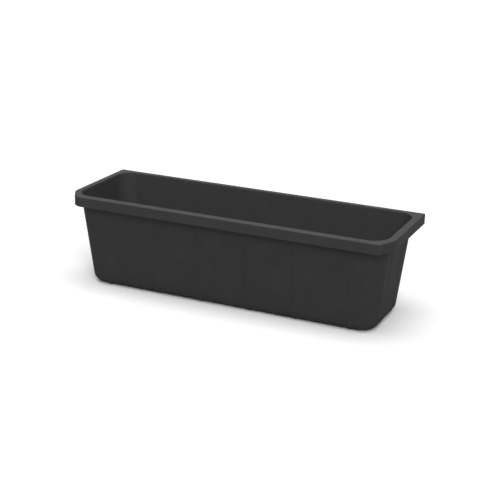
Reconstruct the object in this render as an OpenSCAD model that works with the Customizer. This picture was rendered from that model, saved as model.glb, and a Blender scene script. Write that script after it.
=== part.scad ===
// Long plastic drinking trough for livestock, with a screw-cap drain.
// X runs along the trough, the wall side is +Y, +Z is up.
// The origin is on the ground, under the middle of the rim.

/* [Rim] */
// Outer length of the rim
rim_length = 800; // [640:10:1200]
// Outer width of the rim
rim_width = 266; // [220:2:360]
// Height of the rim above the ground
trough_height = 226; // [180:1:300]
// Width of the flat top of the rim
rim_shelf = 16; // [12:0.5:25]
// Thickness of the rim's flat top
rim_thickness = 4; // [3:0.25:6]
// Depth of the turned-down skirt, from the top of the rim
skirt_depth = 25; // [15:0.5:40]
// Thickness of the skirt
skirt_wall = 3.5; // [2.5:0.25:5]
// Radius from the rim's flat top down into the basin
lip_radius = 3; // [2:0.5:8]
// Rounding of the rim's outer top edge
rim_edge = 3; // [1:0.25:3]
// Radius of the two back corners, which stand against the wall
back_corner = 2; // [1:0.5:6]
// Length of the left front corner's cut, along the trough
left_cut_x = 25; // [20:1:30]
// Length of the left front corner's cut, across the trough
left_cut_y = 43; // [36:1:50]
// Radius of the left cut's two soft edges
left_cut_edge = 30; // [10:1:36]
// Length of the right front corner's cut, along the trough
right_cut_x = 21; // [14:1:26]
// Length of the right front corner's cut, across the trough
right_cut_y = 47; // [40:1:55]
// Radius of the right cut's sharper edge, at the front
right_cut_edge = 5; // [4:0.5:10]
// Radius of the right cut's softer edge, at the end
right_end_edge = 40; // [20:1:50]

/* [Basin] */
// Thickness of the side walls
wall = 4; // [3:0.25:6]
// Thickness of the floor
floor_wall = 4.5; // [3:0.25:8]
// Lean of the side walls from upright, in degrees
draft = 5.7; // [3:0.1:8]
// Outer radius of the upright corners
corner_radius = 42; // [38:1:60]
// Outer radius between the side walls and the floor
bottom_radius = 24; // [14:1:30]

/* [Ribs] */
// Width of a stiffening rib
rib_width = 13; // [8:0.5:20]
// Height of a long wall's rib, which is also the height of its foot under the floor
rib_height = 2; // [1:0.25:3]
// Height of an end wall's rib, which has no foot on the ground
end_rib_height = 1; // [0.5:0.25:1]
// Distance of the two middle ribs from the middle of the trough
rib_first = 61; // [40:1:80]
// Distance from a middle rib to the next one
rib_pitch = 115; // [80:1:130]
// Distance of the last rib from the end of the rim
rib_end_inset = 93; // [80:1:100]
// Distance of the end walls' ribs from the middle of the wall
end_rib_place = 36; // [32:1:45]

/* [Drain] */
// Height of the drain's middle on the outside of the end wall
drain_height = 50; // [46:1:80]
// Bore of the drain
drain_bore = 19; // [12:0.5:20]
// Outer diameter of the drain's threaded tail
tail_diameter = 26.4; // [25:0.1:30]
// Length of the tail outside the wall
tail_length = 19.5; // [18:0.5:30]
// Diameter of the drain's flange inside the basin
flange_diameter = 42; // [38:1:48]
// Thickness of that flange
flange_thickness = 3.5; // [2.5:0.25:5]
// Thickness of the rubber seal under the flange
seal_thickness = 2.5; // [1.5:0.25:4]
// Thickness of the washer under the nut
washer_thickness = 1.5; // [1:0.25:3]
// Size of the nut, across its flats
nut_flats = 36; // [34:0.5:42]
// Thickness of the nut
nut_thickness = 7; // [5:0.5:10]
// Turns of thread that hold the cap
cap_turns = 3; // [2:0.5:3]
// Pitch of the tail's coarse thread
thread_pitch = 3; // [2:0.25:3]
// Wall of the cap, outside its thread
cap_wall = 3.6; // [3:0.2:5]
// Thickness of the cap's closed end
cap_end = 2.5; // [2:0.25:4]
// Thickness of the sealing disc in the cap
disc_thickness = 2; // [1:0.25:3]
// Number of grip flutes round the cap
grip_count = 18; // [12:1:24]
// Radius of a grip flute
grip_radius = 1.3; // [0.8:0.1:1.6]

/* [Hidden] */

// Gap between the tail's thread and what is screwed on it or slipped over it
thread_gap = 0.1;
slip_gap = 0.5;
// Steps that stand for an arc in the moulded shell
corner_steps = 9;
fillet_steps = 6;
lip_steps = 4;
edge_steps = 3;

// Half sizes of the outer faces of the side walls, carried up to the rim's top
lip_reach = lip_radius * (cos(draft) - (1 - sin(draft)) * tan(draft));
wall_half_x = rim_length / 2 - rim_shelf - lip_reach + wall / cos(draft);
wall_half_y = rim_width / 2 - rim_shelf - lip_reach + wall / cos(draft);
floor_under = rib_height;
floor_top = floor_under + floor_wall;
inner_corner = corner_radius - wall;
inner_bottom = bottom_radius - wall;
opening_corner = inner_corner + lip_reach;

// How far a side wall has leaned in at a height, below the rim's top
function lean(z) = (trough_height - z) * tan(draft);

// Points of one rounded corner. at is the sharp corner, moved in by inset;
// the outline turns there from facing a1 to facing a2.
function corner(at, a1, a2, inset, r, steps) =
    let (n1 = [cos(a1), sin(a1)],
         n2 = [cos(a2), sin(a2)],
         centre = at - (inset + r) * (n1 + n2) / (1 + n1 * n2))
    [for (i = [0 : steps])
        let (a = a1 + (a2 - a1) * i / steps) centre + r * [cos(a), sin(a)]];

function raise(points, z) = [for (p = points) [p[0], p[1], z]];

// A level outline with four equal corners
function basin_ring(hx, hy, r, z) = raise(concat(
    corner([hx, hy], 0, 90, 0, r, corner_steps),
    corner([-hx, hy], 90, 180, 0, r, corner_steps),
    corner([-hx, -hy], 180, 270, 0, r, corner_steps),
    corner([hx, -hy], 270, 360, 0, r, corner_steps)), z);

// A level outline of the rim, moved in by inset: square at the back, cut at the front
function rim_ring(inset, z) =
    let (hx = rim_length / 2,
         hy = rim_width / 2,
         left = atan(left_cut_x / left_cut_y),
         right = atan(right_cut_x / right_cut_y),
         back_r = max(back_corner - inset, 0.5),
         left_r = left_cut_edge - inset,
         right_r = max(right_cut_edge - inset, 0.5),
         end_r = right_end_edge - inset,
         half_steps = (corner_steps - 1) / 2)
    raise(concat(
        corner([hx, hy], 0, 90, inset, back_r, corner_steps),
        corner([-hx, hy], 90, 180, inset, back_r, corner_steps),
        corner([-hx, left_cut_y - hy], 180, 180 + left, inset, left_r, half_steps),
        corner([left_cut_x - hx, -hy], 180 + left, 270, inset, left_r, half_steps),
        corner([hx - right_cut_x, -hy], 270, 360 - right, inset, right_r, half_steps),
        corner([hx, right_cut_y - hy], 360 - right, 360, inset, end_r, half_steps)), z);

// Outline where the wall turns into the floor; turn runs from draft to 90 degrees.
// skin is 0 on the outer face of the shell and wall on the inner one.
function bottom_ring(turn, skin) =
    let (r = bottom_radius - skin,
         z0 = skin == 0 ? floor_under : floor_top,
         step = r * (1 / cos(draft) - cos(turn)),
         middle_lean = lean(z0 + r) + skin / cos(draft))
    basin_ring(wall_half_x - middle_lean - step, wall_half_y - middle_lean - step,
               corner_radius - skin - step, z0 + r * (1 - sin(turn)));

// Outline on the lip between the rim's flat top and the basin; turn is 0 at the flat top
function lip_ring(turn) =
    let (step = lip_radius * sin(turn))
    basin_ring(rim_length / 2 - rim_shelf - step, rim_width / 2 - rim_shelf - step,
               opening_corner - step, trough_height - lip_radius * (1 - cos(turn)));

fillet_turns = [for (i = [0 : fillet_steps]) draft + (90 - draft) * i / fillet_steps];
lip_turns = [for (i = [0 : lip_steps]) (90 - draft) * i / lip_steps];
edge_turns = [for (i = [0 : edge_steps]) 90 * i / edge_steps];

shell_rings = concat(
    [for (i = [fillet_steps : -1 : 0]) bottom_ring(fillet_turns[i], wall)],
    [for (i = [lip_steps : -1 : 0]) lip_ring(lip_turns[i])],
    [for (turn = edge_turns)
        rim_ring(rim_edge * (1 - sin(turn)), trough_height - rim_edge * (1 - cos(turn)))],
    [rim_ring(0, trough_height - skirt_depth),
     rim_ring(skirt_wall, trough_height - skirt_depth),
     rim_ring(skirt_wall, trough_height - rim_thickness),
     basin_ring(wall_half_x - lean(trough_height - rim_thickness),
                wall_half_y - lean(trough_height - rim_thickness),
                corner_radius, trough_height - rim_thickness)],
    [for (turn = fillet_turns) bottom_ring(turn, 0)]);

// Closed skin through a stack of outlines, each with the same number of points
module ring_stack(rings) {
    n = len(rings[0]);
    last = len(rings) - 1;
    points = [for (ring = rings) each ring];
    sides = [for (k = [0 : last - 1], i = [0 : n - 1])
        let (a = k * n + i, b = k * n + (i + 1) % n)
        each [[a, b, b + n], [a, b + n, a + n]]];
    caps = [[for (i = [n - 1 : -1 : 0]) i], [for (i = [0 : n - 1]) last * n + i]];
    polyhedron(points, concat(sides, caps), convexity = 8);
}

// Half size of the flat under the floor, between the rounded bottom edges
function flat_half(half) =
    half - lean(floor_under + bottom_radius) - bottom_radius / cos(draft);

// Half of the section of the shell's outer face, from under the rim to the middle of
// the floor; grow moves it outwards
function wall_section(half, grow) =
    let (top = trough_height - 0.75 * rim_thickness,
         r = bottom_radius + grow,
         zc = floor_under + bottom_radius,
         xc = flat_half(half))
    concat([[half - lean(top) + grow / cos(draft), top]],
           [for (turn = fillet_turns) [xc + r * cos(turn), zc - r * sin(turn)]]);

function both_halves(half_section) =
    concat(half_section,
           [for (i = [len(half_section) - 1 : -1 : 0])
               [-half_section[i][0], half_section[i][1]]]);

// One rib: a flat strap that runs down one wall, under the floor and up the other,
// and is sunk a quarter of the wall into the shell
module strap(half, height) {
    rotate([90, 0, 0])
    linear_extrude(rib_width, center = true)
    difference() {
        polygon(both_halves(wall_section(half, height)));
        polygon(both_halves(wall_section(half, -wall / 4)));
    }
}

module ribs() {
    for (x = [rib_first, rib_first + rib_pitch, rim_length / 2 - rib_end_inset], side = [-1, 1])
        translate([side * x, 0, 0]) rotate([0, 0, 90]) strap(wall_half_y, rib_height);
    // The end walls' ribs stop where the floor turns flat
    for (side = [-1, 1])
        translate([0, side * end_rib_place, 0])
        difference() {
            strap(wall_half_x, end_rib_height);
            cube([2 * flat_half(wall_half_x), 2 * rib_width, 2 * bottom_radius], center = true);
        }
}

// Places a drain piece: its +Z points out of the end wall, and 0 is on the wall's outer face
module at_drain() {
    translate([lean(drain_height) - wall_half_x, 0, drain_height])
    rotate([0, -90 - draft, 0])
    children();
}

module trough_shell() {
    color([0.21, 0.21, 0.21])
    difference() {
        union() {
            ring_stack(shell_rings);
            ribs();
        }
        at_drain()
        translate([0, 0, -2 * wall])
        cylinder(d = tail_diameter + 2 * slip_gap, h = 4 * wall, $fn = 96);
    }
}

flange_z = -wall - seal_thickness - flange_thickness;

module drain_body() {
    color([0.12, 0.12, 0.13])
    at_drain()
    difference() {
        union() {
            translate([0, 0, flange_z])
            cylinder(d = flange_diameter, h = flange_thickness, $fn = 96);
            translate([0, 0, flange_z])
            cylinder(d = tail_diameter, h = tail_length - flange_z, $fn = 96);
        }
        translate([0, 0, flange_z - 1])
        cylinder(d = drain_bore, h = tail_length - flange_z + 2, $fn = 96);
    }
}

module flat_ring(outer, inner, thickness) {
    difference() {
        cylinder(d = outer, h = thickness, $fn = 96);
        translate([0, 0, -1]) cylinder(d = inner, h = thickness + 2, $fn = 96);
    }
}

module flange_seal() {
    color([0.07, 0.07, 0.07])
    at_drain()
    translate([0, 0, -wall - seal_thickness])
    flat_ring(flange_diameter - 1, tail_diameter + 2 * slip_gap, seal_thickness);
}

module nut_washer() {
    color([0.3, 0.3, 0.31])
    at_drain()
    flat_ring(nut_flats + 4, tail_diameter + 2 * slip_gap, washer_thickness);
}

module back_nut() {
    color([0.12, 0.12, 0.13])
    at_drain()
    translate([0, 0, washer_thickness])
    difference() {
        cylinder(d = nut_flats / cos(30), h = nut_thickness, $fn = 6);
        translate([0, 0, -1])
        cylinder(d = tail_diameter + 2 * thread_gap, h = nut_thickness + 2, $fn = 96);
    }
}

cap_grip_length = cap_turns * thread_pitch;
cap_outer = tail_diameter + 2 * cap_wall;

module cap_seal_disc() {
    color([0.07, 0.07, 0.07])
    at_drain()
    translate([0, 0, tail_length])
    cylinder(d = tail_diameter - 1, h = disc_thickness, $fn = 96);
}

module drain_cap() {
    color([0.13, 0.13, 0.14])
    at_drain()
    translate([0, 0, tail_length - cap_grip_length])
    difference() {
        union() {
            cylinder(d = cap_outer, h = cap_grip_length + disc_thickness + cap_end, $fn = 96);
            for (i = [0 : grip_count - 1])
                rotate([0, 0, 360 * i / grip_count])
                translate([cap_outer / 2, 0, 0])
                cylinder(r = grip_radius, h = cap_grip_length + disc_thickness, $fn = 24);
        }
        translate([0, 0, -1])
        cylinder(d = tail_diameter + 2 * thread_gap, h = cap_grip_length + disc_thickness + 1, $fn = 96);
    }
}

trough_shell();
drain_body();
flange_seal();
nut_washer();
back_nut();
cap_seal_disc();
drain_cap();
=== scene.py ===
"""Looks of a long plastic drinking trough for livestock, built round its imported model.

Lengths are in metres. X runs along the trough, the wall side is +Y and +Z is up. The
origin is on the ground, under the middle of the rim.
"""
import math

import bmesh
import bpy
import numpy as np
from mathutils import Matrix, Vector


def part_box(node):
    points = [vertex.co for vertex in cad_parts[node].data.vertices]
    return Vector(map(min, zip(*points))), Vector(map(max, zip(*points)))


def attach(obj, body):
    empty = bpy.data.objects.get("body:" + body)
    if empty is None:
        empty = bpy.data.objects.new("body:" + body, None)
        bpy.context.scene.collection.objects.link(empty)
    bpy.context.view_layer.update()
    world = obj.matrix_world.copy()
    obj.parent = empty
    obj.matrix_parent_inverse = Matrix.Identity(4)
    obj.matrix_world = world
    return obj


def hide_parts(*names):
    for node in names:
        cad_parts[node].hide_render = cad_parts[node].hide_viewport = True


bl_info = {
    "name": "Livestock Trough",
    "version": (1, 0, 0),
    "blender": (4, 5, 0),
    "location": "View3D > Sidebar > Trough",
    "description": "Builds a moulded drinking trough, its drain fitting and a studio round them",
    "category": "Add Mesh",
}

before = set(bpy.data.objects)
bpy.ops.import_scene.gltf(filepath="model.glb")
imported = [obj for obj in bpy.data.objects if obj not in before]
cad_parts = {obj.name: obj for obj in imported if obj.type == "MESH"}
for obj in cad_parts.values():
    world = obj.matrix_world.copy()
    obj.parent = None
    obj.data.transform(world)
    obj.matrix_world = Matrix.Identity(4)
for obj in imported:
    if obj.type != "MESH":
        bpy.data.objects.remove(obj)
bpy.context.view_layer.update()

MM = 0.001
HOLE_EDGE_ANGLE = math.radians(50.0)
FEWEST_SHELL_FACES = 1000
SHELL_LOW, SHELL_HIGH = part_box("trough_shell")
RIM_HALF_LENGTH = SHELL_HIGH.x
RIM_HALF_WIDTH = SHELL_HIGH.y
RIM_TOP = SHELL_HIGH.z


# ---------------------------------------------------------------- sizes


class TroughSizes(bpy.types.PropertyGroup):
    """Sizes of the moulded trough; its length, width and height come from the frame"""

    draft: bpy.props.FloatProperty(
        name="Draft", description="Lean of the side walls from upright",
        default=math.radians(5.7), subtype="ANGLE")
    wall: bpy.props.FloatProperty(
        name="Wall", description="Thickness of the side walls", default=4 * MM, unit="LENGTH")
    floor: bpy.props.FloatProperty(
        name="Floor", description="Thickness of the floor", default=4.5 * MM, unit="LENGTH")
    corner: bpy.props.FloatProperty(
        name="Corner", description="Outer radius of the upright corners", default=42 * MM, unit="LENGTH")
    bottom: bpy.props.FloatProperty(
        name="Bottom edge", description="Outer radius from the walls to the floor",
        default=24 * MM, unit="LENGTH")
    shelf: bpy.props.FloatProperty(
        name="Shelf", description="Width of the rim's flat top", default=16 * MM, unit="LENGTH")
    shelf_thickness: bpy.props.FloatProperty(
        name="Shelf thickness", description="Thickness of the rim's flat top",
        default=4 * MM, unit="LENGTH")
    lip: bpy.props.FloatProperty(
        name="Lip", description="Radius from the rim's top down into the basin",
        default=3 * MM, unit="LENGTH")
    skirt: bpy.props.FloatProperty(
        name="Skirt", description="Depth of the turned-down skirt", default=25 * MM, unit="LENGTH")
    skirt_wall: bpy.props.FloatProperty(
        name="Skirt wall", description="Thickness of the skirt", default=3.5 * MM, unit="LENGTH")
    rim_edge: bpy.props.FloatProperty(
        name="Rim edge", description="Rounding of the rim's outer top edge",
        default=3 * MM, unit="LENGTH")
    skirt_edge: bpy.props.FloatProperty(
        name="Skirt edge", description="Rounding of the skirt's lower edge",
        default=1.2 * MM, unit="LENGTH")
    back_corner: bpy.props.FloatProperty(
        name="Back corner", description="Radius of the rim's square back corners",
        default=2 * MM, unit="LENGTH")
    left_cut_x: bpy.props.FloatProperty(
        name="Left cut along", description="Length of the left front corner's cut, along the trough",
        default=25 * MM, unit="LENGTH")
    left_cut_y: bpy.props.FloatProperty(
        name="Left cut across", description="Length of the left front corner's cut, across the trough",
        default=43 * MM, unit="LENGTH")
    left_cut_edge: bpy.props.FloatProperty(
        name="Left cut edges", description="Radius of the left cut's two soft edges",
        default=30 * MM, unit="LENGTH")
    right_cut_x: bpy.props.FloatProperty(
        name="Right cut along", description="Length of the right front corner's cut, along the trough",
        default=21 * MM, unit="LENGTH")
    right_cut_y: bpy.props.FloatProperty(
        name="Right cut across", description="Length of the right front corner's cut, across the trough",
        default=47 * MM, unit="LENGTH")
    right_cut_edge: bpy.props.FloatProperty(
        name="Right cut edge", description="Radius of the right cut's sharper edge, at the front",
        default=5 * MM, unit="LENGTH")
    right_end_edge: bpy.props.FloatProperty(
        name="Right end edge", description="Radius of the right cut's softer edge, at the end",
        default=40 * MM, unit="LENGTH")
    rib_width: bpy.props.FloatProperty(
        name="Rib width", description="Width of a stiffening rib", default=13 * MM, unit="LENGTH")
    rib_height: bpy.props.FloatProperty(
        name="Foot height", description="Height of a rib under the floor, where it is a foot",
        default=2 * MM, unit="LENGTH")
    rib_relief: bpy.props.FloatProperty(
        name="Rib height", description="Height of a rib on a long wall", default=1.1 * MM, unit="LENGTH")
    end_rib_height: bpy.props.FloatProperty(
        name="End rib height", description="Height of a rib on an end wall", default=0.9 * MM,
        unit="LENGTH")
    rib_first: bpy.props.FloatProperty(
        name="First rib", description="Distance of the two middle ribs from the middle",
        default=61 * MM, unit="LENGTH")
    rib_pitch: bpy.props.FloatProperty(
        name="Rib pitch", description="Distance from a middle rib to the next one",
        default=115 * MM, unit="LENGTH")
    rib_end_inset: bpy.props.FloatProperty(
        name="Last rib", description="Distance of the last rib from the end of the rim",
        default=93 * MM, unit="LENGTH")
    end_rib_place: bpy.props.FloatProperty(
        name="End ribs", description="Distance of the end walls' ribs from the middle of the wall",
        default=36 * MM, unit="LENGTH")


class DrainSizes(bpy.types.PropertyGroup):
    """Sizes of the drain fitting in the end wall"""

    height: bpy.props.FloatProperty(
        name="Height", description="Height of the drain's middle on the outside of the end wall",
        default=50 * MM, unit="LENGTH")
    bore: bpy.props.FloatProperty(
        name="Bore", description="Radius of the drain's bore", default=9.5 * MM, unit="LENGTH")
    tail: bpy.props.FloatProperty(
        name="Tail", description="Outer radius of the threaded tail", default=13.2 * MM, unit="LENGTH")
    tail_length: bpy.props.FloatProperty(
        name="Tail length", description="Length of the tail outside the wall",
        default=19.5 * MM, unit="LENGTH")
    flange: bpy.props.FloatProperty(
        name="Flange", description="Radius of the flange inside the basin", default=21 * MM, unit="LENGTH")
    flange_thickness: bpy.props.FloatProperty(
        name="Flange thickness", description="Thickness of that flange", default=3.5 * MM, unit="LENGTH")
    seal_thickness: bpy.props.FloatProperty(
        name="Seal thickness", description="Thickness of the rubber seal", default=2.5 * MM, unit="LENGTH")
    washer_thickness: bpy.props.FloatProperty(
        name="Washer thickness", description="Thickness of the washer", default=1.5 * MM, unit="LENGTH")
    nut_flats: bpy.props.FloatProperty(
        name="Nut flats", description="Half of the nut's size across its flats",
        default=18 * MM, unit="LENGTH")
    nut_thickness: bpy.props.FloatProperty(
        name="Nut thickness", description="Thickness of the nut", default=7 * MM, unit="LENGTH")
    pitch: bpy.props.FloatProperty(
        name="Pitch", description="Pitch of the tail's coarse thread", default=3 * MM, unit="LENGTH")
    thread_depth: bpy.props.FloatProperty(
        name="Thread depth", description="Depth of the thread", default=1.1 * MM, unit="LENGTH")
    cap_grip: bpy.props.FloatProperty(
        name="Cap grip", description="Length of thread inside the cap", default=9 * MM, unit="LENGTH")
    cap_outer: bpy.props.FloatProperty(
        name="Cap", description="Outer radius of the cap, without its flutes",
        default=16.8 * MM, unit="LENGTH")
    cap_end: bpy.props.FloatProperty(
        name="Cap end", description="Thickness of the cap's closed end", default=2.5 * MM, unit="LENGTH")
    disc_thickness: bpy.props.FloatProperty(
        name="Disc thickness", description="Thickness of the sealing disc", default=2 * MM, unit="LENGTH")
    flutes: bpy.props.IntProperty(
        name="Flutes", description="Number of grip flutes round the cap", default=18, min=6)
    flute_height: bpy.props.FloatProperty(
        name="Flute height", description="How far a grip flute stands out", default=1.2 * MM, unit="LENGTH")


class FinishColours(bpy.types.PropertyGroup):
    """Colours of the plastics and the rubber"""

    trough: bpy.props.FloatVectorProperty(
        name="Trough", description="Carbon-black plastic of the moulding", subtype="COLOR",
        size=3, default=(0.029, 0.029, 0.0293))
    scuff: bpy.props.FloatVectorProperty(
        name="Scuff", description="Greyed plastic on rubbed edges", subtype="COLOR",
        size=3, default=(0.06, 0.06, 0.061))
    # Painted light: a paler colour for the inside of the basin, standing in for fill light there
    painted_basin_light: bpy.props.FloatVectorProperty(
        name="Lime film", description="Plastic under the dry film inside the basin", subtype="COLOR",
        size=3, default=(0.054, 0.054, 0.054))
    # Painted highlight: a paler colour for the rim's flat top, standing in for light falling on it
    rim: bpy.props.FloatVectorProperty(
        name="Rim top", description="Rubbed plastic on the rim's flat top", subtype="COLOR",
        size=3, default=(0.078, 0.078, 0.079))
    fitting: bpy.props.FloatVectorProperty(
        name="Fitting", description="Black plastic of the drain fitting", subtype="COLOR",
        size=3, default=(0.013, 0.013, 0.014))
    washer: bpy.props.FloatVectorProperty(
        name="Washer", description="Grey plastic of the washer", subtype="COLOR",
        size=3, default=(0.09, 0.09, 0.1))
    washer_worn: bpy.props.FloatVectorProperty(
        name="Worn washer", description="Greyed plastic on the washer's rubbed edges", subtype="COLOR",
        size=3, default=(0.14, 0.14, 0.15))
    rubber: bpy.props.FloatVectorProperty(
        name="Rubber", description="Black rubber of the seals", subtype="COLOR",
        size=3, default=(0.012, 0.012, 0.012))
    floor: bpy.props.FloatVectorProperty(
        name="Floor", description="Pale studio floor", subtype="COLOR",
        size=3, default=(0.9, 0.9, 0.9))


# ---------------------------------------------------------------- surfaces


def ease(t):
    """0 below 0, 1 above 1, and 3 t squared minus 2 t cubed between them."""
    t = np.clip(t, 0.0, 1.0)
    return t * t * (3.0 - 2.0 * t)


def arc(start, end, steps):
    """Angles from start to end, in radians, in equal steps."""
    return np.linspace(start, end, steps + 1)


def grid_mesh(name, points, close_along=False):
    """A mesh through points[k, j]: j runs round a closed outline and k along the profile.

    Each cell of the grid is one face. close_along joins the last outline to the first."""
    rings, columns = points.shape[:2]
    k = np.arange(rings if close_along else rings - 1)[:, None]
    j = np.arange(columns)[None, :]
    up = (k + 1) % rings
    right = (j + 1) % columns
    quads = np.stack([k * columns + j, k * columns + right, up * columns + right, up * columns + j], axis=-1)
    mesh = bpy.data.meshes.new(name)
    mesh.from_pydata(points.reshape(-1, 3).tolist(), [], quads.reshape(-1, 4).tolist())
    mesh.validate()
    return mesh


def store(mesh, name, values):
    """Keeps one number for each point of a mesh, for its material to read."""
    mesh.attributes.new(name, "FLOAT", "POINT").data.foreach_set("value", np.ravel(values))


def finish_mesh(mesh, merge=1e-6):
    """Merges points that coincide, dissolves edges without length and turns the faces outwards."""
    work = bmesh.new()
    work.from_mesh(mesh)
    bmesh.ops.remove_doubles(work, verts=work.verts, dist=merge)
    bmesh.ops.dissolve_degenerate(work, edges=work.edges, dist=merge)
    bmesh.ops.recalc_face_normals(work, faces=work.faces)
    if work.calc_volume(signed=True) < 0:
        bmesh.ops.reverse_faces(work, faces=work.faces)
    work.to_mesh(mesh)
    work.free()
    mesh.shade_smooth()
    return mesh


def add_object(name, mesh, material=None):
    """Links a mesh to the scene as an object at the origin."""
    piece = bpy.data.objects.new(name, mesh)
    bpy.context.scene.collection.objects.link(piece)
    if material is not None:
        mesh.materials.append(material)
    return piece


def stand_for(piece, body, node):
    """Makes a piece ride on a body in place of a node, and hides that node."""
    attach(piece, body)
    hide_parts(node)
    return piece


# ---------------------------------------------------------------- moulded trough


def lean(sizes, z):
    """How far a side wall has come in at height z: the drop from the rim times the tangent
    of the draft."""
    return (RIM_TOP - z) * math.tan(sizes.draft)


def wall_halves(sizes):
    """Half length and half width between the outer faces of the walls, carried up to the rim."""
    reach = sizes.lip * (math.cos(sizes.draft) - (1 - math.sin(sizes.draft)) * math.tan(sizes.draft))
    out = sizes.wall / math.cos(sizes.draft) - sizes.shelf - reach
    return RIM_HALF_LENGTH + out, RIM_HALF_WIDTH + out


def rib_columns(centres, width):
    """Places along a straight side and the height of the rib there, from 0 to 1.

    Each rib has a flat crown between two flanks, and each flank rises as an ease curve."""
    flank = 0.42 * width
    rise = np.linspace(-0.5 * width, -0.5 * width + flank, 9)
    beside = 0.5 * width + 0.1 * flank
    local = np.concatenate([[-beside], rise, [0.0], -rise[::-1], [beside]])
    crown = ease((0.5 * width - np.abs(local)) / flank)
    places = (np.asarray(centres)[:, None] + local[None, :]).ravel()
    return places, np.tile(crown, len(centres))


class Outline:
    """The columns of a level outline, in order round the trough from the end wall at +X.

    Each column has a facing angle, the side signs of its corner, and on a straight side a
    fixed place and the height of the rib there."""

    CORNER_STEPS = 24

    def __init__(self, sizes):
        long_ribs = [sizes.rib_first, sizes.rib_first + sizes.rib_pitch,
                     RIM_HALF_LENGTH - sizes.rib_end_inset]
        long_places, long_bumps = rib_columns(sorted([-x for x in long_ribs] + long_ribs), sizes.rib_width)
        end_places, end_bumps = rib_columns([-sizes.end_rib_place, sizes.end_rib_place], sizes.rib_width)
        facing, sign_x, sign_y, fixed, bump, turn = [], [], [], [], [], []

        def side(angle, places, bumps):
            facing.append(np.full(len(places), angle))
            sign_x.append(np.full(len(places), math.copysign(1.0, math.cos(angle))))
            sign_y.append(np.full(len(places), math.copysign(1.0, math.sin(angle))))
            fixed.append(places)
            bump.append(bumps)
            turn.append(np.full(len(places), np.nan))

        def corner(angle):
            steps = np.linspace(0.0, 1.0, self.CORNER_STEPS + 1)
            facing.append(angle + steps * math.pi / 2)
            middle = angle + math.pi / 4
            sign_x.append(np.full(len(steps), math.copysign(1.0, math.cos(middle))))
            sign_y.append(np.full(len(steps), math.copysign(1.0, math.sin(middle))))
            fixed.append(np.full(len(steps), np.nan))
            bump.append(np.zeros(len(steps)))
            turn.append(steps)

        side(0.0, end_places, end_bumps)
        corner(0.0)
        side(math.pi / 2, -long_places, long_bumps[::-1])
        corner(math.pi / 2)
        side(math.pi, -end_places, end_bumps[::-1])
        corner(math.pi)
        side(3 * math.pi / 2, long_places, long_bumps)
        corner(3 * math.pi / 2)
        self.facing = np.concatenate(facing)
        self.sign_x = np.concatenate(sign_x)
        self.sign_y = np.concatenate(sign_y)
        self.fixed = np.concatenate(fixed)
        self.bump = np.concatenate(bump)
        self.turn = np.concatenate(turn)
        self.cos = np.cos(self.facing)
        self.sin = np.sin(self.facing)
        self.on_corner = ~np.isnan(self.turn)
        self.on_end = ~self.on_corner & (np.abs(self.cos) > 0.5)
        self.on_long = ~self.on_corner & ~self.on_end

    def level(self, half_x, half_y, radius):
        """Outlines with four equal corners: each point is the middle of its corner's arc, or a
        fixed place on a straight side, plus the radius along its facing. Inputs are arrays,
        one value per outline."""
        half_x, half_y, radius = (np.atleast_1d(v)[:, None] for v in (half_x, half_y, radius))
        x = np.where(self.on_long, self.fixed, self.sign_x * (half_x - radius)) + radius * self.cos
        y = np.where(self.on_end, self.fixed, self.sign_y * (half_y - radius)) + radius * self.sin
        return x, y

    def rim(self, sizes, inset):
        """Outlines of the rim, moved in by inset: square at the back and cut at the front.

        A corner that turns from facing a to facing b is an arc about the sharp corner, moved
        back along the sum of the two facings until it lies inset plus radius inside both sides.
        A cut corner is two such arcs, each for half of its columns."""
        inset = np.atleast_1d(inset)[:, None]
        half_x, half_y = RIM_HALF_LENGTH, RIM_HALF_WIDTH
        left = self.sign_x < 0
        cut_x = np.where(left, sizes.left_cut_x, sizes.right_cut_x)
        cut_y = np.where(left, sizes.left_cut_y, sizes.right_cut_y)
        slant = np.arctan2(cut_x, cut_y)
        start = self.facing - self.turn * math.pi / 2
        cut = self.on_corner & (self.sign_y < 0)
        first, second = cut & (self.turn <= 0.5), cut & (self.turn > 0.5)
        at_end = cut & (first == left)
        bend = start + np.where(left, slant, math.pi / 2 - slant)
        a = np.where(second, bend, start)
        b = np.where(first, bend, start + math.pi / 2)
        share = np.where(first, 2 * self.turn, np.where(second, 2 * self.turn - 1, self.turn))
        corner_x = self.sign_x * (half_x - np.where(cut & ~at_end, cut_x, 0.0))
        corner_y = self.sign_y * (half_y - np.where(at_end, cut_y, 0.0))
        radius = np.where(left, sizes.left_cut_edge,
                          np.where(at_end, sizes.right_end_edge, sizes.right_cut_edge))
        radius = np.maximum(np.where(cut, radius, sizes.back_corner) - inset, 0.5 * MM)
        back = (inset + radius) / (1 + np.cos(b - a))
        angle = a + (b - a) * share
        x = corner_x - back * (np.cos(a) + np.cos(b)) + radius * np.cos(angle)
        y = corner_y - back * (np.sin(a) + np.sin(b)) + radius * np.sin(angle)
        x = np.where(self.on_long, self.fixed, np.where(self.on_end, self.sign_x * (half_x - inset), x))
        y = np.where(self.on_end, self.fixed, np.where(self.on_long, self.sign_y * (half_y - inset), y))
        return x, y


def stack(x, y, z):
    """Points of outlines at heights z."""
    return np.stack([x, y, np.broadcast_to(np.atleast_1d(z)[:, None], x.shape)], axis=-1)


def bottom_outlines(outline, sizes, turns, skin):
    """Outlines where the wall rolls into the floor, for turns from the wall's facing (draft) to
    straight down. The arc's middle stays put and its radius is the bottom radius less skin."""
    radius = sizes.bottom - skin
    low = sizes.rib_height + (sizes.floor if skin else 0.0)
    wall_x, wall_y = wall_halves(sizes)
    step = radius * (1 / math.cos(sizes.draft) - np.cos(turns))
    inward = lean(sizes, low + radius) + skin / math.cos(sizes.draft) + step
    x, y = outline.level(wall_x - inward, wall_y - inward, sizes.corner - skin - step)
    return x, y, low + radius * (1 - np.sin(turns))


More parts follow.
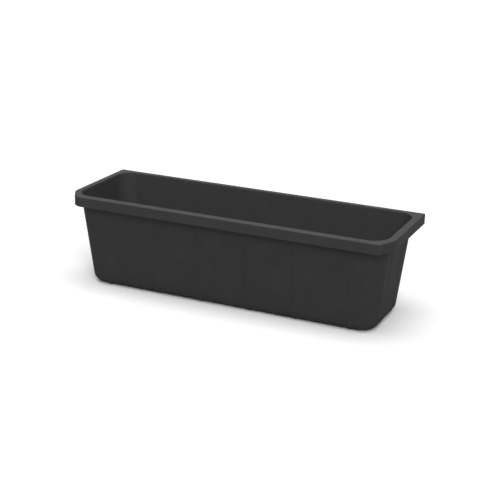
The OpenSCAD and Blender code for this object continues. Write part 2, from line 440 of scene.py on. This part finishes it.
def raise_ribs(points, outline, sizes, turns, foot):
    """Moves rib columns out along the surface's facing, which is turns below level.

    foot runs from 0 on the wall to 1 under the floor: there a long wall's rib is as high as its
    foot, and an end wall's rib has died away."""
    foot = np.asarray(foot)[:, None]
    on_long = sizes.rib_relief + (sizes.rib_height - sizes.rib_relief) * foot
    height = outline.bump * np.where(outline.on_end, sizes.end_rib_height * (1 - foot), on_long)
    out = np.cos(turns)[:, None] * height
    points[..., 0] += out * outline.cos
    points[..., 1] += out * outline.sin
    points[..., 2] -= np.sin(turns)[:, None] * height
    return points


def flatten_to_middle(points, shares):
    """Copies the last outline with its width multiplied by each share, down to the long middle
    line, where the two halves meet."""
    last = np.repeat(points[-1:], len(shares), axis=0).copy()
    last[..., 1] *= np.asarray(shares)[:, None]
    return last


def shell_mesh(sizes):
    """The whole skin of the trough as one stack of outlines: floor of the basin, up the inner
    wall, over the lip, the rim and its skirt, back under the rim, down the outer wall with its
    ribs, round the bottom edge and under the floor."""
    outline = Outline(sizes)
    wall_x, wall_y = wall_halves(sizes)
    skin = sizes.wall / math.cos(sizes.draft)

    turns = arc(sizes.draft, math.pi / 2, 14)
    x, y, z = bottom_outlines(outline, sizes, turns[::-1], sizes.wall)
    roll = stack(x, y, z)
    inner_floor = flatten_to_middle(roll[:1], [0.0, 0.3, 0.6, 0.9, 0.985])

    low, high = z[-1] + 1 * MM, RIM_TOP - sizes.lip - 1 * MM
    heights = np.linspace(low, high, 12)
    x, y = outline.level(wall_x - skin - lean(sizes, heights), wall_y - skin - lean(sizes, heights),
                         np.full(len(heights), sizes.corner - sizes.wall))
    inner_wall = stack(x, y, heights)

    lip_turns = arc(math.pi / 2 - sizes.draft, 0.0, 8)
    step = sizes.lip * np.sin(lip_turns)
    opening = sizes.corner - sizes.wall + sizes.lip * (
        math.cos(sizes.draft) - (1 - math.sin(sizes.draft)) * math.tan(sizes.draft))
    x, y = outline.level(RIM_HALF_LENGTH - sizes.shelf - step, RIM_HALF_WIDTH - sizes.shelf - step,
                         opening - step)
    lip = stack(x, y, RIM_TOP - sizes.lip * (1 - np.cos(lip_turns)))
    x, y = outline.level(RIM_HALF_LENGTH - sizes.shelf + 0.5 * MM, RIM_HALF_WIDTH - sizes.shelf + 0.5 * MM,
                         opening + 0.5 * MM)
    shelf_inner = stack(x, y, RIM_TOP)

    edge_turns = arc(0.0, math.pi / 2, 6)
    inset = np.concatenate([[sizes.rim_edge + 0.5 * MM], sizes.rim_edge * (1 - np.sin(edge_turns)), [0.0]])
    drop = np.concatenate([[0.0], sizes.rim_edge * (1 - np.cos(edge_turns)), [sizes.rim_edge + 0.5 * MM]])
    x, y = outline.rim(sizes, inset)
    rim_outer = stack(x, y, RIM_TOP - drop)

    foot = RIM_TOP - sizes.skirt
    tip = sizes.skirt_edge
    inset = np.concatenate([[0.0], tip * (1 - np.cos(edge_turns)),
                            sizes.skirt_wall - tip * (1 - np.sin(edge_turns)), [sizes.skirt_wall]])
    rise = np.concatenate([[tip + 0.5 * MM], tip * (1 - np.sin(edge_turns)),
                           tip * (1 - np.cos(edge_turns)), [tip + 0.5 * MM]])
    x, y = outline.rim(sizes, inset)
    skirt = stack(x, y, foot + rise)

    under = RIM_TOP - sizes.shelf_thickness
    x, y = outline.rim(sizes, [sizes.skirt_wall, sizes.skirt_wall, sizes.skirt_wall + 0.3 * MM])
    channel = stack(x, y, [under - 0.6 * MM, under, under])

    down_the_wall = np.linspace(under - 0.6 * MM, sizes.rib_height + sizes.bottom, 16)
    heights = np.concatenate([[under, under], down_the_wall])
    x, y = outline.level(wall_x - lean(sizes, heights), wall_y - lean(sizes, heights),
                         np.full(len(heights), sizes.corner))
    x[0] += 0.3 * MM * outline.cos
    y[0] += 0.3 * MM * outline.sin
    outer_wall = raise_ribs(stack(x, y, heights), outline, sizes, np.full(len(heights), sizes.draft),
                            np.zeros(len(heights)))
    outer_wall[:2, :, 2] = under

    x, y, z = bottom_outlines(outline, sizes, turns, 0.0)
    foot = ease((turns - sizes.draft) / (math.pi / 2 - sizes.draft))
    outer_roll = raise_ribs(stack(x, y, z), outline, sizes, turns, foot)
    under_floor = flatten_to_middle(outer_roll, [0.985, 0.9, 0.6, 0.3, 0.0])

    parts = [inner_floor, roll, inner_wall, lip, shelf_inner, rim_outer, skirt, channel,
             outer_wall, outer_roll, under_floor]
    points = np.concatenate(parts)
    rings = np.repeat(np.arange(len(parts)), [len(part) for part in parts])
    mesh = grid_mesh("trough_shell", points)
    depth = RIM_TOP - points[..., 2]
    inside, flat, skirt_side = rings[:, None] < 4, (rings[:, None] == 4) | (rings[:, None] == 5), \
        rings[:, None] == 6
    # Painted fill light: this mask paints the inside of the basin paler, fading in below the lip
    store(mesh, "basin", np.where(inside, ease(depth / sizes.lip), 0.0))
    # Painted highlight: this mask paints the rim's flat top paler, fading over its rounded outer edge, and
    # the skirt a tenth as much; it also makes the top's rubbed plastic smoother
    store(mesh, "rubbed_and_lit", np.where(flat, 1.0 - 0.9 * ease(depth / sizes.rim_edge),
                                   np.where(skirt_side, 0.1, 0.0)))
    return finish_mesh(mesh)


# ---------------------------------------------------------------- drain pieces


def drain_axes(trough, drain):
    """Where the drain's axis leaves the outer face of the end wall, and its three directions:
    across, up along the wall, and out of the wall."""
    wall_x, _ = wall_halves(trough)
    start = np.array([lean(trough, drain.height) - wall_x, 0.0, drain.height])
    out = np.array([-math.cos(trough.draft), 0.0, -math.sin(trough.draft)])
    across = np.array([0.0, 1.0, 0.0])
    return start, across, np.cross(out, across), out


def place_on_drain(trough, drain, radius, angle, height):
    """Points at a radius and angle round the drain's axis, at a height out of the wall."""
    start, across, up, out = drain_axes(trough, drain)
    radius, angle, height = np.broadcast_arrays(radius, angle, height)
    return (start + (radius * np.cos(angle))[..., None] * across
            + (radius * np.sin(angle))[..., None] * up + height[..., None] * out)


def rounded_profile(corners, steps=4):
    """A closed profile of (radius, height) through corners, each (radius, height, rounding).

    A rounded corner is a curve between the two points where the rounding meets its sides,
    drawn as (1-t) squared, 2 t (1-t) and t squared parts of start, corner and end."""
    corners = np.asarray(corners, float)
    here, size = corners[:, :2], corners[:, 2:3]
    before = np.roll(here, 1, axis=0) - here
    after = np.roll(here, -1, axis=0) - here
    start = here + before / np.linalg.norm(before, axis=1, keepdims=True) * size
    end = here + after / np.linalg.norm(after, axis=1, keepdims=True) * size
    t = np.linspace(0.0, 1.0, steps + 1)[None, :, None]
    curve = (1 - t) ** 2 * start[:, None] + 2 * t * (1 - t) * here[:, None] + t ** 2 * end[:, None]
    return curve.reshape(-1, 2)


def thread_wave(angle, height, pitch):
    """Height of a coarse thread from 0 in the root to 1 on the crest: a trapezoid with soft
    corners along the axis, moved on by one pitch in each turn."""
    phase = np.mod(height / pitch - angle / (2 * math.pi), 1.0)
    return ease(2.4 - 8.0 * np.abs(phase - 0.5))


def turned_mesh(name, trough, drain, profile, columns, shape=None):
    """A closed profile carried round the drain's axis; shape may change the radius from the
    profile's radius, the angle and the height."""
    angle = np.linspace(0.0, 2 * math.pi, columns, endpoint=False)[None, :]
    radius = np.repeat(profile[:, :1], columns, axis=1)
    height = np.repeat(profile[:, 1:], columns, axis=1)
    if shape is not None:
        radius = shape(radius, angle, height)
    points = place_on_drain(trough, drain, radius, angle, height)
    return finish_mesh(grid_mesh(name, points, close_along=True))


def lathe_line(start, end, step):
    """Points of a straight stretch of a profile, no further apart than step."""
    start, end = np.asarray(start, float), np.asarray(end, float)
    count = max(int(math.ceil(np.linalg.norm(end - start) / step)), 1)
    return start + (end - start) * np.linspace(0.0, 1.0, count + 1)[:, None]


# ---------------------------------------------------------------- materials


class Socket:
    """One output of a shader node, with arithmetic written as Python operators."""

    def __init__(self, tree, link):
        self.tree = tree
        self.link = link

    def _math(self, operation, *values):
        return self.tree.node("ShaderNodeMath", dict(operation=operation), values)

    def __add__(self, other):
        return self._math("ADD", self, other)

    __radd__ = __add__

    def __sub__(self, other):
        return self._math("SUBTRACT", self, other)

    def __rsub__(self, other):
        return self._math("SUBTRACT", other, self)

    def __mul__(self, other):
        return self._math("MULTIPLY", self, other)

    __rmul__ = __mul__

    def __truediv__(self, other):
        return self._math("DIVIDE", self, other)

    def __pow__(self, other):
        return self._math("POWER", self, other)

    def clamp(self, low, high):
        """0 up to low, 1 from high, and a smooth step between them."""
        return self.tree.node("ShaderNodeMapRange", dict(interpolation_type="SMOOTHSTEP"),
                              {"Value": self, "From Min": low, "From Max": high})


class Shader:
    """Builds one material's node tree round its Principled shader."""

    def __init__(self, name, **constants):
        self.material = bpy.data.materials.new(name)
        self.material.use_nodes = True
        self.nodes = self.material.node_tree.nodes
        self.links = self.material.node_tree.links
        self.surface = self.nodes["Principled BSDF"]
        for socket, value in constants.items():
            self.surface.inputs[socket.replace("_", " ")].default_value = value

    def node(self, kind, settings=None, inputs=(), output=0):
        """Adds a node: its settings first, then a value or a link for each socket."""
        made = self.nodes.new(kind)
        for name, value in (settings or {}).items():
            if name == "stops":
                for stop, (place, colour) in zip(made.color_ramp.elements, value):
                    stop.position, stop.color = place, colour
            else:
                setattr(made, name, value)
        pairs = inputs.items() if isinstance(inputs, dict) else enumerate(inputs)
        for key, value in pairs:
            self.feed(made.inputs[key], value)
        return Socket(self, made.outputs[output])

    def feed(self, socket, value):
        """Links a socket to a Socket's output, or sets its value."""
        if isinstance(value, Socket):
            self.links.new(value.link, socket)
        else:
            socket.default_value = value

    def place(self):
        """The point's place on the piece, in metres."""
        return self.node("ShaderNodeTexCoord", output="Object")

    def stretched(self, vector, scale):
        return self.node("ShaderNodeMapping", None, {"Vector": vector, "Scale": scale})

    def noise(self, vector, scale, detail=2.0, roughness=0.5):
        return self.node("ShaderNodeTexNoise", None,
                         {"Vector": vector, "Scale": scale, "Detail": detail, "Roughness": roughness})

    def cells(self, vector, scale, randomness=1.0):
        return self.node("ShaderNodeTexVoronoi", None,
                         {"Vector": vector, "Scale": scale, "Randomness": randomness})

    def attribute(self, name):
        """A number kept on the mesh's points."""
        return self.node("ShaderNodeAttribute", dict(attribute_name=name), output="Fac")

    def mix(self, factor, first, second):
        """A colour between first and second."""
        made = self.nodes.new("ShaderNodeMix")
        made.data_type = "RGBA"
        for key, value in (("Factor_Float", factor), ("A_Color", first), ("B_Color", second)):
            self.feed(next(s for s in made.inputs if s.identifier == key), value)
        return Socket(self, next(s for s in made.outputs if s.identifier == "Result_Color"))

    def bump(self, height, distance, strength=1.0, normal=None):
        inputs = {"Height": height, "Distance": distance, "Strength": strength}
        if normal is not None:
            inputs["Normal"] = normal
        return self.node("ShaderNodeBump", None, inputs)

    def set(self, socket, value):
        self.feed(self.surface.inputs[socket], value)


def opaque(colour):
    return (*colour, 1.0)


def moulded_plastic(name, colour, worn, grain=2200.0, roughness=0.42, depth=0.03 * MM):
    """Black plastic from a mould: a fine grain of small cells, broad flow marks that change the gloss,
    thin rub marks and a little grey in those marks and in broad clouds."""
    shader = Shader(name, Specular_IOR_Level=0.5)
    place = shader.place()
    cells = shader.cells(place, grain)
    fine = shader.noise(place, grain * 0.6, detail=3.0)
    flow = shader.noise(shader.stretched(place, (2.2, 2.2, 7.0)), 4.0, detail=4.0)
    cloud = shader.noise(place, 26.0, detail=5.0, roughness=0.62)
    rubs = shader.noise(shader.stretched(place, (9.0, 60.0, 160.0)), 3.0, detail=6.0, roughness=0.7)
    marks = rubs.clamp(0.63, 0.78) * cloud.clamp(0.42, 0.66)
    shader.set("Base Color", shader.mix((marks * 0.35 + cloud.clamp(0.35, 0.8) * 0.22).clamp(0.0, 1.0),
                                        opaque(colour), opaque(worn)))
    shader.set("Roughness", roughness + (flow - 0.5) * 0.16 + (cloud - 0.5) * 0.1 - marks * 0.08)
    height = cells * 0.7 + fine * 0.5
    shader.set("Normal", shader.bump(height, depth, 0.6))
    return shader.material


def trough_plastic(name, colours):
    """The shell's black plastic: the rim's flat top, and a little of the skirt, painted paler as a painted
    highlight, where the rubbed plastic is also smoother; the inside of the basin painted paler, unevenly in
    clouds, as painted fill light; elsewhere as any moulded plastic."""
    shader = Shader(name, Specular_IOR_Level=0.02)
    place = shader.place()
    basin = shader.attribute("basin")
    rubbed_and_lit = shader.attribute("rubbed_and_lit")
    cells = shader.cells(place, 1500.0)
    fine = shader.noise(place, 900.0, detail=3.0)
    flow = shader.noise(shader.stretched(place, (2.2, 2.2, 7.0)), 4.0, detail=4.0)
    cloud = shader.noise(place, 26.0, detail=5.0, roughness=0.62)
    rubs = shader.noise(shader.stretched(place, (9.0, 60.0, 160.0)), 3.0, detail=6.0, roughness=0.7)
    marks = rubs.clamp(0.63, 0.78) * cloud.clamp(0.42, 0.66)
    tone = shader.mix((marks * 0.25 + cloud.clamp(0.35, 0.8) * 0.12), opaque(colours.trough),
                      opaque(colours.scuff))
    # Painted fill light: the inside of the basin is painted paler, unevenly in clouds
    tone = shader.mix(basin * (0.8 + 0.4 * (cloud - 0.5)), tone, opaque(colours.painted_basin_light))
    # Painted highlight: the rim's flat top and, a little, the skirt are painted paler; the lower roughness
    # below is the rubbed plastic's gloss
    tone = shader.mix(rubbed_and_lit * (0.9 + 0.5 * (cloud - 0.5)), tone, opaque(colours.rim))
    shader.set("Base Color", tone)
    shader.set("Roughness", 0.62 + (flow - 0.5) * 0.16 + (cloud - 0.5) * 0.1 - marks * 0.08 - rubbed_and_lit * 0.08)
    shader.set("Normal", shader.bump(cells * 0.7 + fine * 0.5, 0.03 * MM, 0.6))
    return shader.material


def soft_rubber(name, colour):
    """Matt rubber: a dusty bloom in broad patches and a very fine pitted skin."""
    shader = Shader(name, Specular_IOR_Level=0.35)
    place = shader.place()
    bloom = shader.noise(place, 160.0, detail=4.0, roughness=0.6)
    pits = shader.noise(place, 3200.0, detail=2.0)
    dusty = tuple(min(1.0, 2.2 * channel) for channel in colour)
    shader.set("Base Color", shader.mix(bloom.clamp(0.4, 0.75), opaque(colour), opaque(dusty)))
    shader.set("Roughness", 0.72 + (bloom - 0.5) * 0.25)
    shader.set("Normal", shader.bump(pits, 0.03 * MM, 0.5))
    return shader.material


def studio_floor(name, colour):
    """Pale seamless floor with a barely visible paper mottle."""
    shader = Shader(name, Roughness=0.9, Specular_IOR_Level=0.1)
    mottle = shader.noise(shader.place(), 6.0, detail=3.0)
    shade = tuple(0.985 * channel for channel in colour)
    shader.set("Base Color", shader.mix(mottle, opaque(colour), opaque(shade)))
    return shader.material


# ---------------------------------------------------------------- operators


class BuildTrough(bpy.types.Operator):
    """Build the moulded shell, with its rim, ribs, feet and the hole for the drain"""

    bl_idname = "trough.build_shell"
    bl_label = "Moulded Shell"

    def execute(self, context):
        sizes, drain = context.scene.trough_sizes, context.scene.drain_sizes
        colours = context.scene.finish_colours
        shell = add_object("moulded_shell", shell_mesh(sizes),
                           trough_plastic("moulded_black_plastic", colours))
        self.drill(context, shell, sizes, drain)
        stand_for(shell, "trough", "trough_shell")
        return {"FINISHED"}

    def drill(self, context, shell, sizes, drain):
        """Cuts the drain's hole through the end wall with a round plug, and keeps its edges crisp."""
        radius = drain.tail + 0.5 * MM
        depth = 2 * sizes.wall
        profile = np.array([[0.0, -depth], [radius, -depth], [radius, depth], [0.0, depth]])
        plug = add_object("hole_plug", turned_mesh("hole_plug", sizes, drain, profile, 96))
        cut = shell.modifiers.new("hole", "BOOLEAN")
        cut.operation, cut.object, cut.solver = "DIFFERENCE", plug, "EXACT"
        view = context.evaluated_depsgraph_get()
        drilled = bpy.data.meshes.new_from_object(shell.evaluated_get(view))
        shell.modifiers.clear()
        drilled.set_sharp_from_angle(angle=HOLE_EDGE_ANGLE)
        shell.data = drilled
        bpy.data.objects.remove(plug)
        if len(drilled.polygons) < FEWEST_SHELL_FACES:
            raise RuntimeError("the hole for the drain removed the shell")


class BuildDrainBody(bpy.types.Operator):
    """Build the drain fitting: a flange inside the basin and a threaded tail with a bore"""

    bl_idname = "trough.build_drain_body"
    bl_label = "Drain Body"

    def execute(self, context):
        trough, drain = context.scene.trough_sizes, context.scene.drain_sizes
        colours = context.scene.finish_colours
        back = -trough.wall - drain.seal_thickness
        front = back - drain.flange_thickness
        tip = drain.tail_length
        root = drain.tail - drain.thread_depth
        edge = 1.0 * MM
        head = rounded_profile([(root, back, 0.2 * MM), (drain.bore, tip, 0.6 * MM),
                                (drain.bore, front, edge), (drain.flange, front, edge),
                                (drain.flange, back, 0.4 * MM)])[5:]
        tail = lathe_line((root, back), (root, tip - 0.6 * MM), 0.2 * MM)
        profile = np.concatenate([tail, [(root - 0.6 * MM, tip)], head])

        def cut_thread(radius, angle, height):
            on_tail = (np.abs(radius - root) < 0.01 * MM) & (height > back)
            fade = ease((height - back - 1 * MM) / (2 * MM)) * ease((tip - height - 0.3 * MM) / (1.5 * MM))
            crest = thread_wave(angle, height, drain.pitch) * fade * drain.thread_depth
            return np.where(on_tail, radius + crest, radius)

        mesh = turned_mesh("drain_body", trough, drain, profile, 128, cut_thread)
        piece = add_object("threaded_drain_body", mesh,
                           moulded_plastic("fitting_black_plastic", colours.fitting, colours.scuff,
                                           grain=3500.0, roughness=0.36))
        stand_for(piece, "trough", "drain_body")
        return {"FINISHED"}


class BuildSeals(bpy.types.Operator):
    """Build the rubber seal behind the flange, the washer under the nut and the cap's disc"""

    bl_idname = "trough.build_seals"
    bl_label = "Seals and Washer"

    def execute(self, context):
        trough, drain = context.scene.trough_sizes, context.scene.drain_sizes
        colours = context.scene.finish_colours
        rubber = soft_rubber("seal_rubber", colours.rubber)
        slack = drain.tail + 0.5 * MM
        back = -trough.wall - drain.seal_thickness
        rim = drain.flange - 0.5 * MM
        seal = rounded_profile([(slack, back, 0.3 * MM), (rim, back, 0.7 * MM),
                                (rim, -trough.wall, 0.7 * MM), (slack, -trough.wall, 0.3 * MM)])
        piece = add_object("flange_rubber_seal",
                           turned_mesh("flange_seal", trough, drain, seal, 96), rubber)
        stand_for(piece, "trough", "flange_seal")

        rim = drain.nut_flats + 2 * MM
        top = drain.washer_thickness
        washer = rounded_profile([(slack, 0.0, 0.2 * MM), (rim, 0.0, 0.4 * MM),
                                  (rim, top, 0.4 * MM), (slack, top, 0.2 * MM)])
        piece = add_object("grey_nut_washer",
                           turned_mesh("nut_washer", trough, drain, washer, 96),
                           moulded_plastic("washer_grey_plastic", colours.washer, colours.washer_worn,
                                           grain=3000.0, roughness=0.5))
        stand_for(piece, "trough", "nut_washer")

        low, top = drain.tail_length, drain.tail_length + drain.disc_thickness
        rim = drain.tail - 0.5 * MM
        disc = np.concatenate([[(0.0, low)], rounded_profile([(rim, low, 0.5 * MM), (rim, top, 0.5 * MM)]
                                                             + [(0.0, top, 0.0)] + [(0.0, low, 0.0)])[:10],
                               [(0.0, top)]])
        piece = add_object("cap_rubber_disc", turned_mesh("cap_seal_disc", trough, drain, disc, 96), rubber)
        stand_for(piece, "seal_disc", "cap_seal_disc")
        return {"FINISHED"}


class BuildNut(bpy.types.Operator):
    """Build the hexagonal nut that clamps the drain body to the wall"""

    bl_idname = "trough.build_nut"
    bl_label = "Back Nut"

    def execute(self, context):
        trough, drain = context.scene.trough_sizes, context.scene.drain_sizes
        low = drain.washer_thickness
        top = low + drain.nut_thickness
        bore = drain.tail + 0.1 * MM
        point = drain.nut_flats / math.cos(math.pi / 6)
        sides = lathe_line((point, low + 0.3 * MM), (point, top - 0.3 * MM), 0.35 * MM)
        profile = np.concatenate([[(bore, low + 0.4 * MM), (bore + 0.4 * MM, low),
                                   (0.9 * drain.nut_flats, low), (point - 0.3 * MM, low)], sides,
                                  [(point - 0.3 * MM, top), (0.9 * drain.nut_flats, top),
                                   (bore + 0.6 * MM, top), (bore, top - 0.6 * MM)]])

        def cut_hexagon(radius, angle, height):
            """The smaller of the profile, the hexagon's flats and the cone that chamfers its points."""
            away = np.mod(angle + math.pi / 6, math.pi / 3) - math.pi / 6
            flats = drain.nut_flats / np.cos(away)
            end = np.minimum(height - low, top - height)
            cone = drain.nut_flats + 0.25 * MM + 1.9 * np.maximum(end, 0.0)
            soft = 0.35 * MM
            gap = np.clip(0.5 + (cone - flats) / (2 * soft), 0.0, 1.0)
            outer = cone + (flats - cone) * gap - soft * gap * (1 - gap)
            return np.where(radius > drain.nut_flats, np.minimum(radius, outer), radius)

        piece = add_object("hexagonal_back_nut",
                           turned_mesh("back_nut", trough, drain, profile, 240, cut_hexagon),
                           bpy.data.materials["fitting_black_plastic"])
        stand_for(piece, "trough", "back_nut")
        return {"FINISHED"}


class BuildCap(bpy.types.Operator):
    """Build the fluted cap that screws onto the tail"""

    bl_idname = "trough.build_cap"
    bl_label = "Drain Cap"

    def execute(self, context):
        trough, drain = context.scene.trough_sizes, context.scene.drain_sizes
        colours = context.scene.finish_colours
        low = drain.tail_length - drain.cap_grip
        seat = drain.tail_length + drain.disc_thickness
        top = seat + drain.cap_end
        bore = drain.tail + 0.1 * MM
        dish = drain.cap_outer - 4.5 * MM
        inner = lathe_line((bore, seat - 0.4 * MM), (bore, low + 0.5 * MM), 0.2 * MM)
        outer = lathe_line((drain.cap_outer, low + 0.9 * MM), (drain.cap_outer, top - 2.2 * MM), 0.8 * MM)
        crown = rounded_profile([(drain.cap_outer, top - 2.2 * MM, 0.0), (drain.cap_outer, top, 2.0 * MM),
                                 (dish, top, 0.6 * MM), (dish - 0.8 * MM, top - 0.9 * MM, 0.5 * MM),
                                 (0.0, top - 0.9 * MM, 0.0)], 6)
        profile = np.concatenate([[(0.0, seat), (0.5 * bore, seat), (bore, seat)], inner,
                                  [(bore + 0.5 * MM, low), (drain.cap_outer - 0.9 * MM, low),
                                   (drain.cap_outer - 0.3 * MM, low + 0.2 * MM)], outer, crown[7:28],
                                  [(0.6 * dish, top - 0.9 * MM), (0.0, top - 0.9 * MM)]])
        groove = drain.thread_depth * 0.8

        def flute(radius, angle, height):
            """Grip flutes: a raised cosine round the skirt that dies away towards both ends; and
            the inner thread's groove outside the bore."""
            ripple = (0.5 + 0.5 * np.cos(drain.flutes * angle)) ** 1.5
            fade = ease((height - low) / (1.2 * MM)) * ease((seat + 0.4 * MM - height) / (2.5 * MM))
            on_skirt = radius > drain.cap_outer - 0.05 * MM
            on_bore = (np.abs(radius - bore) < 0.01 * MM) & (height < seat - 0.2 * MM)
            start = ease((height - low) / (1.0 * MM)) * ease((seat - 0.6 * MM - height) / (1.0 * MM))
            thread = groove * thread_wave(angle, height, drain.pitch) * start
            return radius + np.where(on_skirt, ripple * fade * drain.flute_height, 0.0) + np.where(
                on_bore, thread, 0.0)

        mesh = turned_mesh("drain_cap", trough, drain, profile, 360, flute)
        piece = add_object("fluted_drain_cap", mesh,
                           moulded_plastic("cap_black_plastic", colours.fitting, colours.scuff,
                                           grain=3000.0, roughness=0.4))
        stand_for(piece, "cap", "drain_cap")
        return {"FINISHED"}


class BuildStudio(bpy.types.Operator):
    """Build the pale floor, the soft lights and the camera"""

    bl_idname = "trough.build_studio"
    bl_label = "Studio"

    def execute(self, context):
        studio = context.scene.studio_sizes
        colours = context.scene.finish_colours
        self.floor(colours)
        self.lights(context, studio)
        self.camera(context, studio)
        return {"FINISHED"}

    def floor(self, colours):
        """A flat floor, large enough to reach past the camera's view."""
        reach = 30.0
        ground = np.array([(-reach, -reach, 0.0), (reach, -reach, 0.0),
                           (reach, reach, 0.0), (-reach, reach, 0.0)])
        mesh = bpy.data.meshes.new("studio_floor")
        mesh.from_pydata(ground.tolist(), [], [(0, 1, 2, 3)])
        floor = add_object("studio_floor", mesh, studio_floor("pale_studio_floor", colours.floor))

    def soft_sun(self, context, name, strength, width, front_lean, side_lean):
        """A far, broad light, leant from straight above to the front and to the right."""
        data = bpy.data.lights.new(name, "SUN")
        data.energy, data.angle = strength, width
        light = bpy.data.objects.new(name, data)
        light.rotation_euler = (front_lean, side_lean, 0.0)
        context.scene.collection.objects.link(light)
        return light

    def lights(self, context, studio):
        """An even pale surround, a row of three soft lights above that gives the shadow on the
        floor, and a lower one in front that reaches into the basin."""
        world = bpy.data.worlds.new("studio_surround")
        world.use_nodes = True
        world.node_tree.nodes["Background"].inputs["Color"].default_value = (1.0, 1.0, 1.0, 1.0)
        world.node_tree.nodes["Background"].inputs["Strength"].default_value = studio.surround
        context.scene.world = world
        for name, strength, side in (("overhead_light", studio.overhead, 0.0),
                                     ("left_overhead_light", studio.overhead_sides, -1.0),
                                     ("right_overhead_light", studio.overhead_sides, 1.0)):
            self.soft_sun(context, name, strength, studio.overhead_width, studio.overhead_lean,
                          side * studio.sides_lean)
        self.soft_sun(context, "front_light", studio.front, studio.front_width, studio.front_lean,
                      studio.front_side)
        context.scene.view_settings.view_transform = "Standard"

    def camera(self, context, studio):
        data = bpy.data.cameras.new("studio_camera")
        data.sensor_width, data.lens = 36.0, studio.lens
        data.clip_start, data.clip_end = 0.01, 200.0
        camera = bpy.data.objects.new("studio_camera", data)
        target = Vector(studio.target)
        yaw, pitch = studio.yaw, studio.pitch
        back = Vector((math.sin(yaw) * math.cos(pitch), -math.cos(yaw) * math.cos(pitch), math.sin(pitch)))
        camera.location = target + back * studio.distance
        facing = (-back).to_track_quat("-Z", "Y").to_matrix().to_4x4()
        camera.rotation_euler = (facing @ Matrix.Rotation(studio.roll, 4, "Z")).to_euler()
        context.scene.collection.objects.link(camera)
        context.scene.camera = camera


class StudioSizes(bpy.types.PropertyGroup):
    """Camera and lights of the studio"""

    lens: bpy.props.FloatProperty(
        name="Lens", description="Focal length, in millimetres", default=84.59, subtype="NONE")
    distance: bpy.props.FloatProperty(
        name="Distance", description="From the camera to the point it faces", default=2.7606, unit="LENGTH")
    target: bpy.props.FloatVectorProperty(
        name="Target", description="The point that the camera faces", size=3,
        default=(0.0209, 0.0, 0.1158), subtype="XYZ_LENGTH")
    yaw: bpy.props.FloatProperty(
        name="Yaw", description="Turn of the camera round the trough, from straight in front",
        default=math.radians(23.96), subtype="ANGLE")
    pitch: bpy.props.FloatProperty(
        name="Pitch", description="Height of the camera above level", default=math.radians(18.92),
        subtype="ANGLE")
    roll: bpy.props.FloatProperty(
        name="Roll", description="Tilt of the camera about its own axis", default=math.radians(1.39),
        subtype="ANGLE")
    surround: bpy.props.FloatProperty(
        name="Surround", description="Brightness of the pale surround", default=0.22, min=0.0)
    overhead: bpy.props.FloatProperty(
        name="Overhead light", description="Strength of the light above, in watts per square metre",
        default=1.6, min=0.0)
    overhead_sides: bpy.props.FloatProperty(
        name="Overhead sides", description="Strength of each light beside the one above",
        default=0.35, min=0.0)
    sides_lean: bpy.props.FloatProperty(
        name="Sides lean", description="Lean of the lights beside it from straight above",
        default=math.radians(35.0), subtype="ANGLE")
    overhead_width: bpy.props.FloatProperty(
        name="Overhead width", description="How wide each light above looks from the trough",
        default=math.radians(40.0), subtype="ANGLE")
    overhead_lean: bpy.props.FloatProperty(
        name="Overhead lean", description="Lean of the light above towards the front",
        default=math.radians(4.0), subtype="ANGLE")
    front: bpy.props.FloatProperty(
        name="Front light", description="Strength of the light in front, in watts per square metre",
        default=1.8, min=0.0)
    front_width: bpy.props.FloatProperty(
        name="Front width", description="How wide the light in front looks from the trough",
        default=math.radians(30.0), subtype="ANGLE")
    front_lean: bpy.props.FloatProperty(
        name="Front lean", description="Lean of the light in front from straight above",
        default=math.radians(44.0), subtype="ANGLE")
    front_side: bpy.props.FloatProperty(
        name="Front side", description="Lean of the light in front towards the right",
        default=math.radians(30.0), subtype="ANGLE")


class TroughPanel(bpy.types.Panel):
    """Lists the pieces of the trough and the studio"""

    bl_idname = "VIEW3D_PT_livestock_trough"
    bl_label = "Livestock Trough"
    bl_space_type = "VIEW_3D"
    bl_region_type = "UI"
    bl_category = "Trough"

    def draw(self, context):
        for step in STEPS:
            self.layout.operator(step.bl_idname)


# ---------------------------------------------------------------- add-on

GROUPS = {"trough_sizes": TroughSizes, "drain_sizes": DrainSizes, "finish_colours": FinishColours,
          "studio_sizes": StudioSizes}
STEPS = (BuildTrough, BuildDrainBody, BuildSeals, BuildNut, BuildCap, BuildStudio)


def register():
    for made in (*GROUPS.values(), *STEPS, TroughPanel):
        bpy.utils.register_class(made)
    for name, group in GROUPS.items():
        setattr(bpy.types.Scene, name, bpy.props.PointerProperty(type=group))


def unregister():
    for name in GROUPS:
        delattr(bpy.types.Scene, name)
    for made in reversed((*GROUPS.values(), *STEPS, TroughPanel)):
        bpy.utils.unregister_class(made)


def main():
    register()
    for step in STEPS:
        group, name = step.bl_idname.split(".")
        getattr(getattr(bpy.ops, group), name)()


if __name__ == "__main__":
    main()
